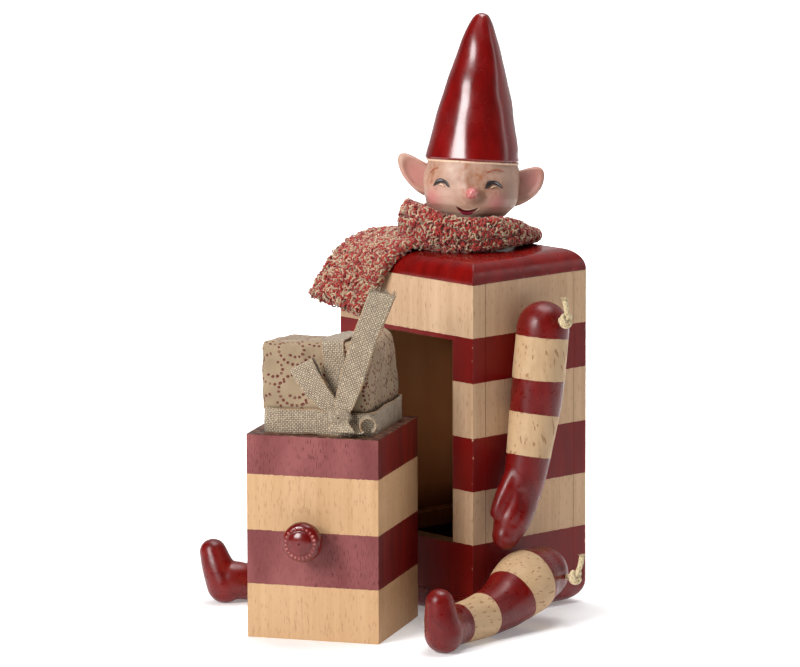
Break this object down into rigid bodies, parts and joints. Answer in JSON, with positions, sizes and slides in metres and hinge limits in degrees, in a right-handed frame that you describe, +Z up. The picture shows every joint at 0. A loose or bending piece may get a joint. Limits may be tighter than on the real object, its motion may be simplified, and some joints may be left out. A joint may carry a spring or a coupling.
{
  "type": "jack in the box",
  "caption": "Sitting wooden elf toy with a striped box body, a drawer holding a wrapped parcel, a pointed hat, a scarf, and carved arms and legs on knotted cords.",
  "frame": {"origin": "the middle of the body box's underside, on the surface it stands on", "axes": "+X along the body's front face to the elf's left, +Y from its front to its back, +Z up"},
  "size_m": [0.1741, 0.1659, 0.2758],
  "materials": {
    "striped_beech": "beech with satin red painted bands",
    "plain_beech": "bare beech",
    "red_gloss": "gloss red painted wood",
    "striped_limb": "carved beech with gloss red painted bands",
    "painted_skin": "satin skin paint with an antique wash",
    "cotton_cord": "braided cotton",
    "boucle_yarn": "looped mixed yarn",
    "wrapping_paper": "matt printed paper",
    "woven_ribbon": "woven ribbon with a metallic thread",
    "screw_steel": "plain steel"
  },
  "bodies": {
    "body_box": {"top_board": "red_gloss", "base_board": "red_gloss", "front_frame": "striped_beech", "back_panel": "striped_beech", "right_side_panel": "striped_beech", "left_side_panel": "striped_beech", "right_runner": "plain_beech", "left_runner": "plain_beech", "neck_peg": "plain_beech", "arm_cord": "cotton_cord", "leg_cord": "cotton_cord", "right_arm_knot": "cotton_cord", "left_arm_knot": "cotton_cord", "right_leg_knot": "cotton_cord", "left_leg_knot": "cotton_cord", "scarf_collar": "boucle_yarn", "scarf_end": "boucle_yarn"},
    "drawer": {"drawer_front": "striped_beech", "drawer_back": "striped_beech", "drawer_right_side": "striped_beech", "drawer_left_side": "striped_beech", "drawer_bottom": "plain_beech", "drawer_knob": "red_gloss", "knob_screw": "screw_steel"},
    "parcel": {"parcel": "wrapping_paper", "ribbon_cross": "woven_ribbon", "ribbon_band": "woven_ribbon", "ribbon_knot": "woven_ribbon", "ribbon_tail": "woven_ribbon", "ribbon_loop": "woven_ribbon"},
    "head": {"head": "painted_skin", "hat": "red_gloss", "left_ear": "painted_skin", "right_ear": "painted_skin"},
    "right_arm": {"right_arm": "striped_limb"},
    "left_arm": {"left_arm": "striped_limb"},
    "right_leg": {"right_leg": "striped_limb"},
    "left_leg": {"left_leg": "striped_limb"}
  },
  "joints": [
    {"name": "head_turn", "type": "hinge", "parent": "body_box", "child": "head", "pos_m": [0.0032, 0.0035, 0.176], "axis": [0, 0, 1], "continuous": true},
    {"name": "right_arm_swing", "type": "hinge", "parent": "body_box", "child": "right_arm", "pos_m": [0.0584, -0.004, 0.1406], "axis": [-1, 0, 0], "range_deg": [0, 165]},
    {"name": "left_arm_swing", "type": "hinge", "parent": "body_box", "child": "left_arm", "pos_m": [-0.0584, -0.004, 0.1406], "axis": [-1, 0, 0], "range_deg": [0, 165]},
    {"name": "right_leg_swing", "type": "hinge", "parent": "body_box", "child": "right_leg", "pos_m": [0.062, -0.004, 0.022], "axis": [1, 0, 0], "range_deg": [0, 90]},
    {"name": "left_leg_swing", "type": "hinge", "parent": "body_box", "child": "left_leg", "pos_m": [-0.062, -0.004, 0.022], "axis": [1, 0, 0], "range_deg": [0, 90]},
    {"name": "drawer_slide", "type": "slide", "parent": "body_box", "child": "drawer", "axis": [0.515, -0.8572, 0], "range_m": [-0.006, 0.08]},
    {"name": "parcel_lift", "type": "slide", "parent": "drawer", "child": "parcel", "axis": [0, 0, 1], "range_m": [0, 0.135]}
  ]
}
